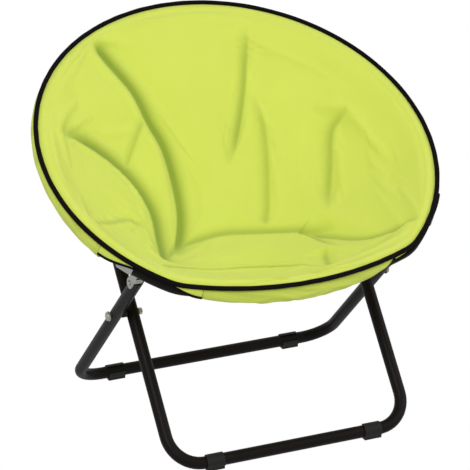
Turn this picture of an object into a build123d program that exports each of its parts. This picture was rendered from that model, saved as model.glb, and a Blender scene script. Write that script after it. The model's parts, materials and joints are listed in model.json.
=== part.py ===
from build123d import *
import os
from math import acos, asin, atan2, cos, degrees, hypot, radians, sin, sqrt

# Folding round lounge chair: a tilted hoop in two hinged halves, carried by two crossed U legs,
# with a padded bowl seat sewn to the hoop. Millimetres, +Z up, the chair faces -Y, X runs left to right.

# Steel tube of the hoop and of the legs
tube_d = 25.0
tube_wall = 1.2

# Hoop: the piping plane passes through the hoop centre, and the tube lies under and inside the piping
hoop_r = 407.0
hoop_tilt = 28.2
hoop_height = 559.5
front_flat = 39.0
front_r = 700.0
corner_r = 100.0
tube_inset = 7.0

# Legs: the front leg is the inner U and runs up to the back of the hoop, the rear leg is the outer U
front_bar_lead = 272.0
leg_spread = 467.0
rear_leg_inset = 116.0
leg_gap = 11.0
front_leg_bend_r = 65.0
rear_leg_bend_r = 60.0
leg_end = 8.0

# Top pivots of the legs, measured from the hoop tube, and the hinge between the hoop halves
rear_pivot_drop = 30.0
front_pivot_drop = 57.0
front_pivot_side = 27.4902
hinge_lead = 107.0
hinge_reach = 45.0
folded_leg_angle = 25.0

# Fasteners
bolt_d = 8.0
bolt_head_d = 18.0
bolt_head_h = 5.0
washer_d = 20.0
washer_t = 1.5
nut_d = 14.0
nut_h = 7.0
spacer_d = 15.0
rivet_d = 6.0
rivet_head_d = 12.0
rivet_head_h = 2.6

# Sheet steel brackets and hinge knuckles
plate_t = 2.5
plate_eye_r = 11.0
plate_top_r = 8.0
clamp_wall = 1.6
clamp_half_length = 17.0
stop_tab_t = 4.0
stop_tab_h = 12.0
knuckle_t = 4.0
knuckle_h = 20.0
knuckle_plug = 30.0
tongue_stop = 4.0

# Plastic feet and tube plugs
foot_length = 37.0
foot_wall = 2.8
foot_sole = 3.0
foot_base_w = 22.0
foot_mouth_w = 15.0
front_foot_gap = 0.5
rear_foot_gap = 11.5
plug_insert = 4.0
plug_dome = 3.0

# Sewn parts
piping_d = 9.0
sleeve_t = 1.6
flap_t = 1.2
flap_below_piping = 14.0
flap_low_angle = 6.0
binding_d = 4.4
binding_angle = -5.0
cutout_lead = 49.0
cutout_front_clear = 91.0
pad_depth = 150.0
pad_deepest_w = -95.0
pad_fullness = 2.5
pad_thick = 28.0
pad_edge_t = 12.0
pad_edge_drop = 5.0
pad_sections = 9

# Main creases of the back pad: (slope, side) points as shares of the hoop radius, with a depth each
crease_arm_left = ((-0.33, -0.48), (-0.05, -0.43), (0.14, -0.51), (0.28, -0.69), (0.32, -0.83))
crease_left = ((-0.33, -0.39), (0.0, -0.26), (0.25, -0.25), (0.58, -0.35), (0.82, -0.49))
crease_middle = ((-0.33, 0.12), (-0.09, 0.20), (0.25, 0.25), (0.44, 0.25), (0.66, 0.31))
crease_right = ((-0.33, 0.43), (-0.04, 0.55), (0.17, 0.63), (0.23, 0.74), (0.37, 0.81))
crease_fade = 80.0
pad_puff = 6.0
fold_crease = 8.0
pad_creases = (
    (crease_arm_left, 14.0, -0.92),
    (crease_left, 16.0, -0.84),
    (crease_middle, 9.0, 0.60),
    (crease_right, 9.0, 0.84),
)

# Clearances
running = 0.05
seat_gap = 0.3
side_gap = 0.4
plug_gap = 0.2

# Values that follow from the driving sizes
tube_r = tube_d / 2
bore_r = tube_r - tube_wall
sleeve_r = tube_r + seat_gap + sleeve_t
clamp_r = tube_r + seat_gap + clamp_wall
tube_under = piping_d / 2 + seat_gap + max(sleeve_r, clamp_r)
tube_drop = sqrt(tube_under**2 - tube_inset**2)
ring_r = hoop_r - tube_inset
hoop_front = hoop_r - front_flat
rear_leg_half = hoop_r - rear_leg_inset
front_leg_half = rear_leg_half - tube_d - leg_gap
front_foot_x = front_leg_half - front_leg_bend_r - front_foot_gap - foot_length / 2
rear_foot_x = rear_leg_half - rear_leg_bend_r - rear_foot_gap - foot_length / 2
front_pivot_w = sqrt(ring_r**2 - (rear_leg_half + front_pivot_side) ** 2)
hinge_w = front_pivot_w - hinge_lead
cutout_rear_w = front_pivot_w - cutout_lead
cutout_front_x = rear_leg_half - cutout_front_clear
flap_r = clamp_r + seat_gap
flap_top_angle = degrees(atan2(tube_drop, tube_inset)) - flap_below_piping
bar_z = tube_r + foot_sole
tilt_c = cos(radians(hoop_tilt))
tilt_s = sin(radians(hoop_tilt))
front_reach = hoop_front * tilt_c + piping_d / 2
rear_reach = ring_r * tilt_c + tube_drop * tilt_s + sleeve_r
hoop_y = (front_reach - rear_reach) / 2
front_bar_y = hoop_y - front_bar_lead
rear_bar_y = front_bar_y + leg_spread
front_centre_w = front_r - hoop_front

# Hoop frame: local x is X, local y runs up the slope of the hoop, local z stands out of the seat
hoop_plane = Plane(origin=(0, hoop_y, hoop_height), x_dir=(1, 0, 0), z_dir=(0, -tilt_s, tilt_c))
tube_plane = hoop_plane.offset(-tube_drop)
hoop_axis = Axis(hoop_plane.origin, hoop_plane.z_dir)


def hoop_point(x, w, n):
    """A point of the hoop frame in the part's own frame."""
    return hoop_plane.from_local_coords(Vector(x, w, n))


def hoop_angle(w, radius=ring_r):
    """Angle on the round part of the tube, or of a ring of another radius, where the slope coordinate is w."""
    return degrees(asin(w / radius))


def half_chord(w):
    """Half width of the tube's round part at the slope coordinate w."""
    return sqrt(ring_r**2 - w**2)


rear_pivot_w = half_chord(front_leg_half)
rear_pivot = hoop_point(0, rear_pivot_w, -tube_drop - rear_pivot_drop)
front_pivot = hoop_point(0, -front_pivot_w, -tube_drop - front_pivot_drop)
hinge_pivot = hoop_point(0, -hinge_w, -tube_drop)
hinge_x = half_chord(hinge_w)

front_run = Vector(0, rear_pivot.Y - front_bar_y, rear_pivot.Z - bar_z)
rear_run = Vector(0, front_pivot.Y - rear_bar_y, front_pivot.Z - bar_z)
front_slope = front_run.Z / front_run.Y
rear_slope = rear_run.Z / rear_run.Y
cross_y = (front_slope * front_bar_y - rear_slope * rear_bar_y) / (front_slope - rear_slope)
cross_z = bar_z + front_slope * (cross_y - front_bar_y)


def corner_centre():
    """Centre of the small arc that joins the round of the hoop to its flatter front, on the +X side."""
    round_reach = hoop_r - corner_r
    front_reach = front_r - corner_r
    w = (round_reach**2 - front_reach**2 + front_centre_w**2) / (2 * front_centre_w)
    return sqrt(round_reach**2 - w**2), w


def outline_points(inset):
    """Ends and middles of the arcs of the hoop outline on its +X side, moved inwards by inset."""
    cx, cw = corner_centre()
    round_end = atan2(cw, cx)
    front_end = atan2(cw - front_centre_w, cx)
    middle = (round_end + front_end) / 2
    small = corner_r - inset
    start = ((hoop_r - inset) * cos(round_end), (hoop_r - inset) * sin(round_end))
    turn = (cx + small * cos(middle), cw + small * sin(middle))
    large = front_r - inset
    end = (large * cos(front_end), front_centre_w + large * sin(front_end))
    return start, turn, end


def front_arc_w(x, inset):
    """Slope coordinate of the flatter front arc at the side coordinate x."""
    return front_centre_w - sqrt((front_r - inset) ** 2 - x**2)


def round_point(w, inset, side=1):
    """A point of the hoop's round part, moved inwards by inset."""
    angle = asin(w / (hoop_r - inset))
    return side * (hoop_r - inset) * cos(angle), w


def mirrored(point):
    return -point[0], point[1]


def draw_front_path(rear_w, front_x=None, inset=tube_inset):
    """Line of the front half of the hoop from the right side at rear_w.

    It runs to the same place on the left, or stops at front_x on the flatter front.
    """
    start, turn, end = outline_points(inset)
    first = round_point(rear_w, inset)
    between = round_point((rear_w + start[1]) / 2, inset)
    ThreePointArc(first, between, start)
    ThreePointArc(start, turn, end)
    if front_x is not None:
        mid_x = (end[0] + front_x) / 2
        ThreePointArc(end, (mid_x, front_arc_w(mid_x, inset)), (front_x, front_arc_w(front_x, inset)))
    else:
        ThreePointArc(end, (0, inset - hoop_front), mirrored(end))
        ThreePointArc(mirrored(end), mirrored(turn), mirrored(start))
        ThreePointArc(mirrored(start), mirrored(between), mirrored(first))


def section_plane(plane, angle, radius=ring_r):
    """Plane across the tube's round part, or a ring's: local x points outwards, local y out of the seat."""
    radial = plane.x_dir * cos(radians(angle)) + plane.y_dir * sin(radians(angle))
    return Plane(origin=plane.origin + radial * radius, x_dir=radial, z_dir=radial.cross(plane.z_dir))


def arc_angle(length):
    """Angle of the hoop that a length along its centre line takes."""
    return degrees(length / ring_r)


def polar_point(radius, angle):
    return radius * cos(radians(angle)), radius * sin(radians(angle))


def x_axis_plane(x, y, z):
    """Plane across X, with local x along Y and local y along Z."""
    return Plane(origin=(x, y, z), x_dir=(0, 1, 0), z_dir=(1, 0, 0))


def slope_plane(x, point):
    """Plane across X at a point, with local x up the slope of the hoop and local y out of the seat."""
    return Plane(origin=(x, point.Y, point.Z), x_dir=hoop_plane.y_dir, z_dir=(1, 0, 0))


def save(solid, name):
    solid.label = name
    export_step(solid, f"parts/{name}.step")


def save_pair(right, name):
    """Write a piece of the right side and its mirror image on the left."""
    save(right, f"{name}_right")
    save(mirror(right, about=Plane.YZ), f"{name}_left")


os.makedirs("parts", exist_ok=True)


# U legs: one bent tube each, drilled for the cross bolt and for the rivet at each top end
def leg_plane(bar_y, run):
    up = run.normalized()
    return Plane(origin=(0, bar_y, bar_z), x_dir=(1, 0, 0), z_dir=Vector(1, 0, 0).cross(up))


front_leg_plane = leg_plane(front_bar_y, front_run)
rear_leg_plane = leg_plane(rear_bar_y, rear_run)


def leg_path(half, length, bend_r):
    top = length + leg_end
    FilletPolyline((half, top), (half, 0), (-half, 0), (-half, top), radius=bend_r)


with BuildPart() as front_leg:
    with BuildLine(front_leg_plane) as front_leg_line:
        leg_path(front_leg_half, front_run.length, front_leg_bend_r)
    with BuildSketch(Plane(front_leg_line.line @ 0, z_dir=front_leg_line.line % 0)):
        Circle(tube_r)
        Circle(bore_r, mode=Mode.SUBTRACT)
    sweep()
    with BuildSketch(x_axis_plane(0, cross_y, cross_z)):
        Circle(bolt_d / 2 + running)
    extrude(amount=front_leg_half + tube_d, both=True, mode=Mode.SUBTRACT)
    with BuildSketch(x_axis_plane(0, rear_pivot.Y, rear_pivot.Z)):
        Circle(rivet_d / 2 + running)
    extrude(amount=front_leg_half + tube_d, both=True, mode=Mode.SUBTRACT)
save(front_leg.part, "front_leg_tube")

with BuildPart() as rear_leg:
    with BuildLine(rear_leg_plane) as rear_leg_line:
        leg_path(rear_leg_half, rear_run.length, rear_leg_bend_r)
    with BuildSketch(Plane(rear_leg_line.line @ 0, z_dir=rear_leg_line.line % 0)):
        Circle(tube_r)
        Circle(bore_r, mode=Mode.SUBTRACT)
    sweep()
    with BuildSketch(x_axis_plane(0, cross_y, cross_z)):
        Circle(bolt_d / 2 + running)
    extrude(amount=rear_leg_half + tube_d, both=True, mode=Mode.SUBTRACT)
    with BuildSketch(x_axis_plane(0, front_pivot.Y, front_pivot.Z)):
        Circle(rivet_d / 2 + running)
    extrude(amount=rear_leg_half + tube_d, both=True, mode=Mode.SUBTRACT)
save(rear_leg.part, "rear_leg_tube")


# Plugs in the open top ends of the legs: a short spigot under a low dome
def build_plug(plane, half, length):
    end = plane.from_local_coords(Vector(half, length + leg_end, 0))
    across = Plane(origin=end, x_dir=(1, 0, 0), z_dir=plane.y_dir)
    with BuildPart() as plug:
        with BuildSketch(across):
            Circle(bore_r - plug_gap)
        extrude(amount=-plug_insert)
        with BuildSketch(across):
            Circle(tube_r)
        extrude(amount=plug_dome)
        rim = plug.edges().filter_by(GeomType.CIRCLE).sort_by(Axis(end, plane.y_dir))[-1]
        fillet(rim, plug_dome * 0.7)
    return plug.part


save_pair(build_plug(front_leg_plane, front_leg_half, front_run.length), "front_leg_plug")
save_pair(build_plug(rear_leg_plane, rear_leg_half, rear_run.length), "rear_leg_plug")


# Clip-on feet: an open ring on the floor bar with a flat sole, its mouth turned inwards and up
def build_foot(x, y, inwards):
    with BuildPart() as foot:
        with BuildSketch(x_axis_plane(x, y, bar_z)):
            Circle(tube_r + foot_wall)
            with Locations((0, -bar_z / 2)):
                Rectangle(foot_base_w, bar_z)
            with Locations((0, -bar_z - tube_r)):
                Rectangle(4 * tube_d, tube_d, mode=Mode.SUBTRACT)
            Circle(tube_r + plug_gap, mode=Mode.SUBTRACT)
            with Locations(Location((0, 0, 0), (0, 0, inwards * -50))):
                with Locations((0, tube_r)):
                    Rectangle(foot_mouth_w, tube_d, mode=Mode.SUBTRACT)
        extrude(amount=foot_length / 2, both=True)
    return foot.part


save_pair(build_foot(front_foot_x, front_bar_y, 1), "front_foot")
save_pair(build_foot(rear_foot_x, rear_bar_y, -1), "rear_foot")

# Scissor pivot: bolt, washer, spacer between the two tubes and cap nut, all on the X axis of the crossing
inner_face = front_leg_half - tube_r - side_gap
spacer_low = front_leg_half + tube_r + side_gap
spacer_high = rear_leg_half - tube_r - side_gap
washer_low = rear_leg_half + tube_r + side_gap
head_low = washer_low + washer_t

with BuildPart() as pivot_bolt:
    with BuildSketch(x_axis_plane(inner_face - nut_h * 0.7, cross_y, cross_z)):
        Circle(bolt_d / 2)
    extrude(amount=head_low - inner_face + nut_h * 0.7)
    with BuildSketch(x_axis_plane(head_low, cross_y, cross_z)):
        Circle(bolt_head_d / 2)
    extrude(amount=bolt_head_h)
    fillet(pivot_bolt.edges().filter_by(GeomType.CIRCLE).sort_by(Axis.X)[-1], bolt_head_h * 0.6)
save_pair(pivot_bolt.part, "pivot_bolt")


def build_ring(low, high, outer, inner):
    with BuildPart() as ring:
        with BuildSketch(x_axis_plane(low, cross_y, cross_z)):
            Circle(outer)
            Circle(inner, mode=Mode.SUBTRACT)
        extrude(amount=high - low)
    return ring.part


save_pair(build_ring(spacer_low, spacer_high, spacer_d / 2, bolt_d / 2 + running), "pivot_spacer")
save_pair(build_ring(washer_low, head_low, washer_d / 2, bolt_d / 2 + running), "pivot_washer")

with BuildPart() as pivot_nut:
    with BuildSketch(x_axis_plane(inner_face, cross_y, cross_z)):
        RegularPolygon(nut_d / 2, 6)
    extrude(amount=-nut_h)
    with BuildSketch(x_axis_plane(inner_face, cross_y, cross_z)):
        Circle(bolt_d / 2 + running)
    extrude(amount=-nut_h * 0.75, mode=Mode.SUBTRACT)
    fillet(pivot_nut.faces().sort_by(Axis.X)[0].edges(), nut_h * 0.15)
save_pair(pivot_nut.part, "pivot_nut")

# Rear half of the hoop: one round arc of tube from hinge to hinge
rear_start = hoop_angle(hinge_reach - hinge_w)
with BuildPart() as rear_hoop:
    with BuildSketch(section_plane(tube_plane, rear_start)):
        Circle(tube_r)
        Circle(bore_r, mode=Mode.SUBTRACT)
    revolve(axis=hoop_axis, revolution_arc=180 - 2 * rear_start)
save(rear_hoop.part, "rear_hoop_tube")

# Front half of the hoop: round sides, two tighter bends and a flatter front
with BuildPart() as front_hoop:
    with BuildLine(tube_plane) as front_hoop_line:
        draw_front_path(-hinge_w - hinge_reach)
    with BuildSketch(Plane(front_hoop_line.line @ 0, z_dir=front_hoop_line.line % 0)):
        Circle(tube_r)
        Circle(bore_r, mode=Mode.SUBTRACT)
    sweep()
save(front_hoop.part, "front_hoop_tube")


def round_bar(angle, half_length, radius):
    """Solid length of the hoop's round part with the given radius, centred on an angle of the hoop."""
    half = arc_angle(half_length)
    with BuildPart() as bar:
        with BuildSketch(section_plane(tube_plane, angle - half)):
            Circle(radius)
        revolve(axis=hoop_axis, revolution_arc=2 * half)
    return bar.part


# Hinge knuckles: a plug in the tube end with a flat tongue across X at the hinge rivet
def build_knuckle(tongue_low, direction, plug_from):
    """tongue_low is the tongue's lower X, direction is +1 towards the back of the hoop and -1 towards its front."""
    tongue = slope_plane(tongue_low, hinge_pivot)
    reach = hinge_reach - tongue_stop
    start = hoop_angle(-hinge_w + direction * plug_from)
    plug_turn = arc_angle(hinge_reach - plug_from + knuckle_plug)
    with BuildPart() as knuckle:
        with BuildSketch(tongue):
            Circle(knuckle_h / 2)
            with Locations((direction * reach / 2, 0)):
                Rectangle(reach, knuckle_h)
        extrude(amount=knuckle_t)
        add(round_bar(hoop_angle(-hinge_w), 2 * hinge_reach, tube_r), mode=Mode.INTERSECT)
        with BuildSketch(section_plane(tube_plane, start if direction > 0 else start - plug_turn)):
            Circle(bore_r - plug_gap)
        revolve(axis=hoop_axis, revolution_arc=plug_turn)
        keep = hinge_x + direction * (running + hoop_r)
        with BuildSketch(x_axis_plane(keep, hinge_pivot.Y, hinge_pivot.Z)):
            Rectangle(2 * hoop_r, 2 * hoop_r)
        extrude(amount=hoop_r, both=True, mode=Mode.INTERSECT)
        with BuildSketch(tongue):
            Circle(rivet_d / 2 + running)
        extrude(amount=knuckle_t, both=True, mode=Mode.SUBTRACT)
    return knuckle.part


save_pair(build_knuckle(hinge_x + running, 1, knuckle_h), "rear_hinge_knuckle")
save_pair(build_knuckle(hinge_x - running - knuckle_t, -1, knuckle_h * 0.75), "front_hinge_knuckle")


# Rivets: a shank with a domed head on each end that shows
def build_rivet(low, high, y, z, head_low, head_high):
    with BuildPart() as rivet:
        with BuildSketch(x_axis_plane(low, y, z)):
            Circle(rivet_d / 2)
        extrude(amount=high - low)
        if head_low:
            with BuildSketch(x_axis_plane(low, y, z)):
                Circle(rivet_head_d / 2)
            extrude(amount=-rivet_head_h)
            fillet(rivet.edges().filter_by(GeomType.CIRCLE).sort_by(Axis.X)[0], rivet_head_h * 0.7)
        if head_high:
            with BuildSketch(x_axis_plane(high, y, z)):
                Circle(rivet_head_d / 2)
            extrude(amount=rivet_head_h)
            fillet(rivet.edges().filter_by(GeomType.CIRCLE).sort_by(Axis.X)[-1], rivet_head_h * 0.7)
    return rivet.part


hinge_grip = knuckle_t + 2 * running
hinge_rivet = build_rivet(hinge_x - hinge_grip, hinge_x + hinge_grip, hinge_pivot.Y, hinge_pivot.Z, True, True)
save_pair(hinge_rivet, "hinge_rivet")


# Clamp brackets: a band round the hoop tube with a steel cheek on one or both sides of the leg end
def cheek(low, pivot, top):
    """Flat cheek across X from low, round the pivot below and narrowing to its top under the tube."""
    dy, dz = top.Y - pivot.Y, top.Z - pivot.Z
    lean = atan2(dz, dy)
    spread = acos((plate_eye_r - plate_top_r) / hypot(dy, dz))
    first, last = degrees(lean - spread), degrees(lean + spread)
    eye_first = polar_point(plate_eye_r, first)
    eye_last = polar_point(plate_eye_r, last)
    cap_first = (dy + plate_top_r * cos(lean - spread), dz + plate_top_r * sin(lean - spread))
    cap_last = (dy + plate_top_r * cos(lean + spread), dz + plate_top_r * sin(lean + spread))
    with BuildPart() as plate:
        with BuildSketch(x_axis_plane(low, pivot.Y, pivot.Z)):
            with BuildLine():
                ThreePointArc(eye_last, polar_point(plate_eye_r, degrees(lean) + 180), eye_first)
                Line(eye_first, cap_first)
                ThreePointArc(
                    cap_first,
                    (dy + plate_top_r * cos(lean), dz + plate_top_r * sin(lean)),
                    cap_last,
                )
                Line(cap_last, eye_last)
            make_face()
        extrude(amount=plate_t)
    return plate.part


rear_bracket_angle = hoop_angle(rear_pivot_w)
rear_cheek_in = front_leg_half - tube_r - side_gap - plate_t
rear_cheek_out = front_leg_half + tube_r + side_gap
cheek_rise = plate_top_r * 0.65

with BuildPart() as rear_bracket:
    rear_top = hoop_point(0, rear_pivot_w, -tube_drop - cheek_rise)
    add(round_bar(rear_bracket_angle, clamp_half_length, clamp_r))
    add(cheek(rear_cheek_in, rear_pivot, rear_top))
    add(cheek(rear_cheek_out, rear_pivot, rear_top))
    add(round_bar(rear_bracket_angle, 3 * clamp_half_length, tube_r + seat_gap), mode=Mode.SUBTRACT)
    with BuildSketch(x_axis_plane(0, rear_pivot.Y, rear_pivot.Z)):
        Circle(rivet_d / 2 + running)
    extrude(amount=2 * hoop_r, mode=Mode.SUBTRACT)
save_pair(rear_bracket.part, "rear_bracket")

rear_rivet_low = rear_cheek_in - running
rear_rivet_high = rear_cheek_out + plate_t + running
rear_rivet = build_rivet(rear_rivet_low, rear_rivet_high, rear_pivot.Y, rear_pivot.Z, True, True)
save_pair(rear_rivet, "rear_bracket_rivet")

front_bracket_angle = hoop_angle(-front_pivot_w)
front_cheek = rear_leg_half + tube_r + side_gap
tab_w = front_pivot_w + plate_eye_r * 0.5

with BuildPart() as front_bracket:
    front_top = hoop_point(0, -half_chord(front_cheek + plate_t / 2), -tube_drop - cheek_rise * 2)
    add(round_bar(front_bracket_angle, clamp_half_length, clamp_r))
    with BuildSketch(x_axis_plane(front_cheek, front_pivot.Y, front_pivot.Z)):
        Rectangle(hoop_r, hoop_r)
    extrude(amount=-hoop_r, mode=Mode.SUBTRACT)
    add(cheek(front_cheek, front_pivot, front_top))
    tab_mid = hoop_point(0, -tab_w - tube_r - stop_tab_t, -tube_drop - clamp_r - stop_tab_h)
    with BuildSketch(slope_plane(front_cheek - tube_r, tab_mid)):
        RectangleRounded(stop_tab_t, stop_tab_h, stop_tab_t * 0.3)
    extrude(amount=tube_r + plate_t)
    with BuildSketch(slope_plane(front_cheek, tab_mid)):
        with Locations((plate_eye_r / 2, 0)):
            Rectangle(plate_eye_r, stop_tab_h)
    extrude(amount=plate_t)
    add(round_bar(front_bracket_angle, 3 * clamp_half_length, tube_r + seat_gap), mode=Mode.SUBTRACT)
    with BuildSketch(x_axis_plane(0, front_pivot.Y, front_pivot.Z)):
        Circle(rivet_d / 2 + running)
    extrude(amount=2 * hoop_r, mode=Mode.SUBTRACT)
save_pair(front_bracket.part, "front_bracket")

front_rivet_low = front_cheek
front_rivet_high = front_cheek + plate_t + running
front_rivet = build_rivet(front_rivet_low, front_rivet_high, front_pivot.Y, front_pivot.Z, False, True)
save_pair(front_rivet, "front_bracket_rivet")


# Fabric sleeves round the hoop tube, with gaps at the hinge and at the leg brackets
def build_round_sleeve(first, last):
    with BuildPart() as sleeve:
        with BuildSketch(section_plane(tube_plane, first)):
            Circle(sleeve_r)
            Circle(tube_r + seat_gap, mode=Mode.SUBTRACT)
        revolve(axis=hoop_axis, revolution_arc=last - first)
    return sleeve.part


hinge_angle = hoop_angle(-hinge_w)
hinge_clear = arc_angle(knuckle_h)
clamp_clear = arc_angle(clamp_half_length + 3.0)
cutout_angle = hoop_angle(-cutout_rear_w)
back_sleeve = build_round_sleeve(rear_bracket_angle + clamp_clear, 180 - rear_bracket_angle - clamp_clear)
save(back_sleeve, "back_sleeve")
save_pair(build_round_sleeve(hinge_angle + hinge_clear, rear_bracket_angle - clamp_clear), "side_sleeve")
save_pair(build_round_sleeve(cutout_angle, hinge_angle - hinge_clear), "hinge_sleeve")

with BuildPart() as front_sleeve:
    with BuildLine(tube_plane) as front_sleeve_line:
        sleeve_start = (cutout_front_x, front_arc_w(cutout_front_x, tube_inset))
        ThreePointArc(sleeve_start, (0, tube_inset - hoop_front), mirrored(sleeve_start))
    with BuildSketch(Plane(front_sleeve_line.line @ 0, z_dir=front_sleeve_line.line % 0)):
        Circle(sleeve_r)
        Circle(tube_r + seat_gap, mode=Mode.SUBTRACT)
    sweep()
save(front_sleeve.part, "front_sleeve")


# Flaps over the cut-outs: a strip of fabric on the outer side of the tube, with a bound lower edge
flap_mid_angle = (flap_top_angle + flap_low_angle) / 2
flap_start = section_plane(tube_plane, cutout_angle)
flap_start = Plane(origin=flap_start.origin, x_dir=flap_start.x_dir, z_dir=-flap_start.z_dir)

with BuildPart() as flap:
    with BuildLine(tube_plane) as flap_line:
        draw_front_path(-cutout_rear_w, cutout_front_x)
    with BuildSketch(flap_start):
        with BuildLine():
            outer = ThreePointArc(
                polar_point(flap_r + flap_t, -flap_low_angle),
                polar_point(flap_r + flap_t, -flap_mid_angle),
                polar_point(flap_r + flap_t, -flap_top_angle),
            )
            inner = ThreePointArc(
                polar_point(flap_r, -flap_low_angle),
                polar_point(flap_r, -flap_mid_angle),
                polar_point(flap_r, -flap_top_angle),
            )
            Line(outer @ 0, inner @ 0)
            Line(outer @ 1, inner @ 1)
        make_face()
    sweep()
save_pair(flap.part, "cutout_flap")

with BuildPart() as binding:
    with BuildLine(tube_plane) as binding_line:
        draw_front_path(-cutout_rear_w, cutout_front_x)
    with BuildSketch(flap_start):
        with Locations(polar_point(flap_r + binding_d / 2, -binding_angle)):
            Circle(binding_d / 2)
    sweep()
save_pair(binding.part, "cutout_binding")

# Piping on the rim, in a rear and a front length that meet above the hinge
fold_gap = seat_gap
piping_rear_start = hoop_angle(-hinge_w + fold_gap, hoop_r)
with BuildPart() as rear_piping:
    with BuildSketch(section_plane(hoop_plane, piping_rear_start, hoop_r)):
        Circle(piping_d / 2)
    revolve(axis=hoop_axis, revolution_arc=180 - 2 * piping_rear_start)
save(rear_piping.part, "rear_piping")

with BuildPart() as front_piping:
    with BuildLine(hoop_plane) as front_piping_line:
        draw_front_path(-hinge_w - fold_gap, inset=0)
    with BuildSketch(Plane(front_piping_line.line @ 0, z_dir=front_piping_line.line % 0)):
        Circle(piping_d / 2)
    sweep()
save(front_piping.part, "front_piping")

# Padded bowl: crowned cross sections carried up the slope and trimmed to the inside of the hoop
pad_inset = tube_inset + sleeve_r + seat_gap
pad_front_w = pad_inset - hoop_front
pad_rear_w = hoop_r - pad_inset
pad_length = pad_rear_w - pad_front_w


def pad_sag(w):
    """Depth of the bowl on its middle line: zero at the rim, deepest towards the seat."""
    share = min(max((w - pad_front_w) / pad_length, 0.004), 0.996)
    deepest = (pad_deepest_w - pad_front_w) / pad_length
    rise = (share / deepest) ** (pad_fullness * deepest)
    fall = ((1 - share) / (1 - deepest)) ** (pad_fullness * (1 - deepest))
    return pad_depth * rise * fall


def pad_half_width(w):
    """Half width of the space inside the sleeves at the slope coordinate w."""
    start, _, end = outline_points(pad_inset)
    if w > start[1]:
        room = pad_rear_w**2 - w**2
    elif w > end[1]:
        cx, cw = corner_centre()
        return cx + sqrt((corner_r - pad_inset) ** 2 - (w - cw) ** 2)
    else:
        room = (front_r - pad_inset) ** 2 - (front_centre_w - w) ** 2
    return sqrt(max(room, (pad_length / 10) ** 2))


def arc_depth(x, half, sag):
    """Depth at x of the circular arc that spans from -half to half with the given sag."""
    radius = (half**2 + sag**2) / (2 * sag)
    return sag - radius + sqrt(radius**2 - x**2)


def crease_side(line, w, half, limit):
    """Side coordinate of a crease at the slope coordinate w, kept inside the share limit of the half width."""
    share = line[0][1]
    for (low_w, low_x), (high_w, high_x) in zip(line, line[1:]):
        if w > low_w * hoop_r:
            share = low_x + (high_x - low_x) * min(1, (w / hoop_r - low_w) / (high_w - low_w))
    side = share * hoop_r
    return max(side, limit * half) if limit < 0 else min(side, limit * half)


def draw_pad_top(w, half, reach, sag, creases):
    """Upper line of a section: one arc for each panel, crowned between the creases that bound it."""
    rim_fade = min(1, max(0, (pad_rear_w - w) / crease_fade))
    edge = pad_edge_drop + arc_depth(reach, half, sag)
    stops = [(-reach, edge)]
    for line, depth, limit in creases:
        x = crease_side(line, w, half, limit)
        fade = rim_fade * min(1, (half - abs(x)) / crease_fade)
        stops.append((x, pad_edge_drop + arc_depth(x, half, sag) + depth * fade))
    stops.append((reach, edge))
    puff = pad_puff * rim_fade if creases else 0
    for (x0, z0), (x1, z1) in zip(stops, stops[1:]):
        middle = (x0 + x1) / 2
        crown = pad_edge_drop + arc_depth(middle, half, sag) - puff
        ThreePointArc((x0, z0), (middle, crown), (x1, z1))
    return stops[0], stops[-1]


def draw_pad_section(w, creases):
    """Crowned section: the upper and lower lines run past the rim, where the outline trims them."""
    half = pad_half_width(w)
    reach = half + pad_inset
    fold_share = max(0, 1 - abs(w + hinge_w) / crease_fade)
    top_sag = pad_sag(w) + fold_crease * fold_share
    full = pad_thick - pad_edge_t
    low_sag = pad_sag(w) + full * min(1, half / (pad_length / 4))
    low_edge = pad_edge_drop + pad_edge_t + arc_depth(reach, half, low_sag)
    plane = Plane(origin=hoop_point(0, w, 0), x_dir=(1, 0, 0), z_dir=hoop_plane.y_dir)
    with BuildSketch(plane) as section:
        with BuildLine():
            top_left, top_right = draw_pad_top(w, half, reach, top_sag, creases)
            low = ThreePointArc((-reach, low_edge), (0, pad_edge_drop + pad_edge_t + low_sag), (reach, low_edge))
            Line(top_left, low @ 0)
            Line(top_right, low @ 1)
        make_face()
    return section.sketch


def build_pad(first_w, last_w, creases):
    start, turn, end = outline_points(pad_inset)
    with BuildPart() as pad:
        for i in range(pad_sections):
            share = i / (pad_sections - 1)
            add(draw_pad_section(first_w + (last_w - first_w) * share, creases))
        loft(ruled=True)
        with BuildSketch(hoop_plane):
            with BuildLine():
                ThreePointArc(start, (0, pad_rear_w), mirrored(start))
                ThreePointArc(mirrored(start), mirrored(turn), mirrored(end))
                ThreePointArc(mirrored(end), (0, pad_front_w), end)
                ThreePointArc(end, turn, start)
            make_face()
        extrude(amount=2 * pad_depth, both=True, mode=Mode.INTERSECT)
    return pad.part


save(build_pad(fold_gap - hinge_w, pad_rear_w + pad_inset, pad_creases), "back_pad")
save(build_pad(pad_front_w - pad_inset, -hinge_w - fold_gap, ()), "seat_pad")


# Fold: the joint values at which the legs, the hoop halves and the hinge close on each other again
def turn_about(point, centre, angle):
    dy, dz = point.Y - centre.Y, point.Z - centre.Z
    return Vector(0, centre.Y + dy * cos(angle) - dz * sin(angle), centre.Z + dy * sin(angle) + dz * cos(angle))


def direction(start, end):
    return atan2(end.Z - start.Z, end.Y - start.Y)


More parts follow.
